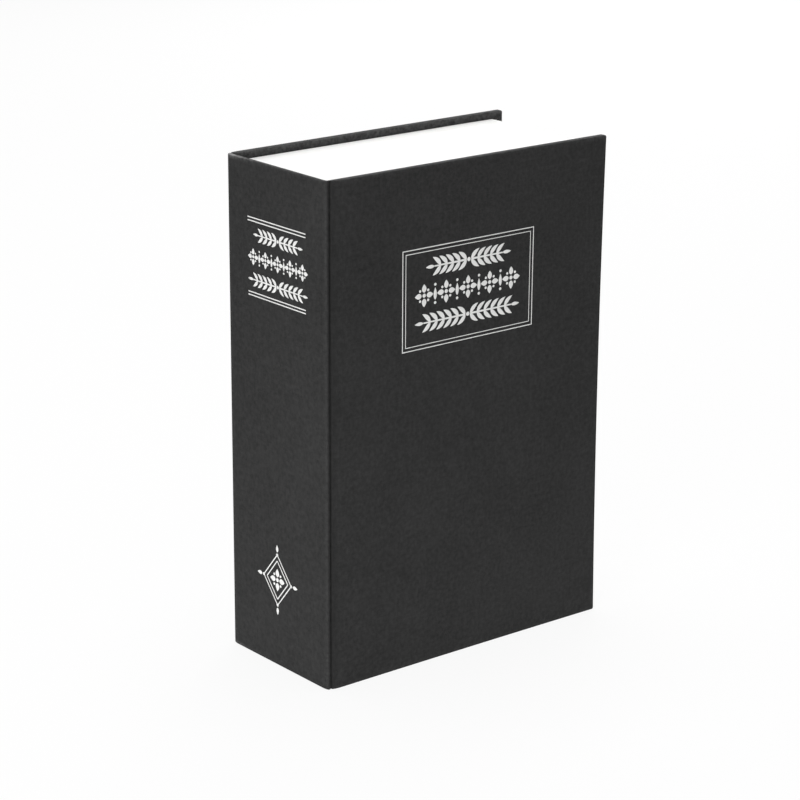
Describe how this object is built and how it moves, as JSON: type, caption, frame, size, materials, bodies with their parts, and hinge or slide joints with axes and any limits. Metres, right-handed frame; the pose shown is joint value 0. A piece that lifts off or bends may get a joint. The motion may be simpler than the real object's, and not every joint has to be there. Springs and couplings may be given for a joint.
{
  "type": "book diversion safe",
  "caption": "Cloth-covered hardback book standing upright; inside, a white page frame holds a steel box with a hinged lid and a cam lock.",
  "frame": {"origin": "middle of the book's footprint, on the surface that it stands on", "axes": "+Z from the tail to the head of the book, +X from the spine to the fore-edge, -Y out of the front cover"},
  "size_m": [0.121, 0.0564, 0.176],
  "materials": {
    "board": "dense grey binder's board",
    "cloth": "dark charcoal bookcloth with a fine linen grain",
    "endpaper": "plain off-white paper",
    "page_frame": "white moulded plastic, ridged like page edges",
    "coated_steel": "black powder coat",
    "plated_steel": "bright zinc plate",
    "lock_chrome": "polished chrome plate",
    "lock_brass": "plain machined brass"
  },
  "bodies": {
    "case": {"front_joint_cloth": "cloth", "spine_board": "board", "spine_cloth": "cloth", "back_joint_cloth": "cloth", "back_cover_board": "board", "back_cover_cloth": "cloth", "back_endpaper": "endpaper", "page_frame": "page_frame", "steel_tray": "coated_steel", "strike_plate": "plated_steel", "tray_screw_1": "plated_steel", "tray_screw_2": "plated_steel", "tray_screw_3": "plated_steel", "tray_screw_4": "plated_steel", "tray_hinge_leaf": "coated_steel", "hinge_pin": "plated_steel"},
    "front_cover": {"front_cover_board": "board", "front_cover_cloth": "cloth", "front_endpaper": "endpaper"},
    "lid": {"lid": "coated_steel", "lid_hinge_leaf": "coated_steel", "lock_housing": "lock_chrome", "lock_nut": "plated_steel"},
    "lock_core": {"lock_plug": "lock_brass", "cam_stop_washer": "plated_steel", "lock_cam": "plated_steel", "cam_screw": "plated_steel"}
  },
  "joints": [
    {"name": "cover_hinge", "type": "hinge", "parent": "case", "child": "front_cover", "pos_m": [-0.05862, -0.02825, 0.088], "axis": [0, 0, -1], "range_deg": [0, 180], "deforming": ["front_joint_cloth"]},
    {"name": "lid_hinge", "type": "hinge", "parent": "case", "child": "lid", "pos_m": [-0.04875, -0.0221, 0.088], "axis": [0, 0, -1], "range_deg": [0, 108]},
    {"name": "lock_turn", "type": "hinge", "parent": "lid", "child": "lock_core", "pos_m": [0.026, -0.0223, 0.088], "axis": [0, 1, 0], "range_deg": [0, 90]}
  ],
  "couplings": [
    {"joint": "lid_hinge", "follows": "cover_hinge", "ratio": 0.6}
  ]
}
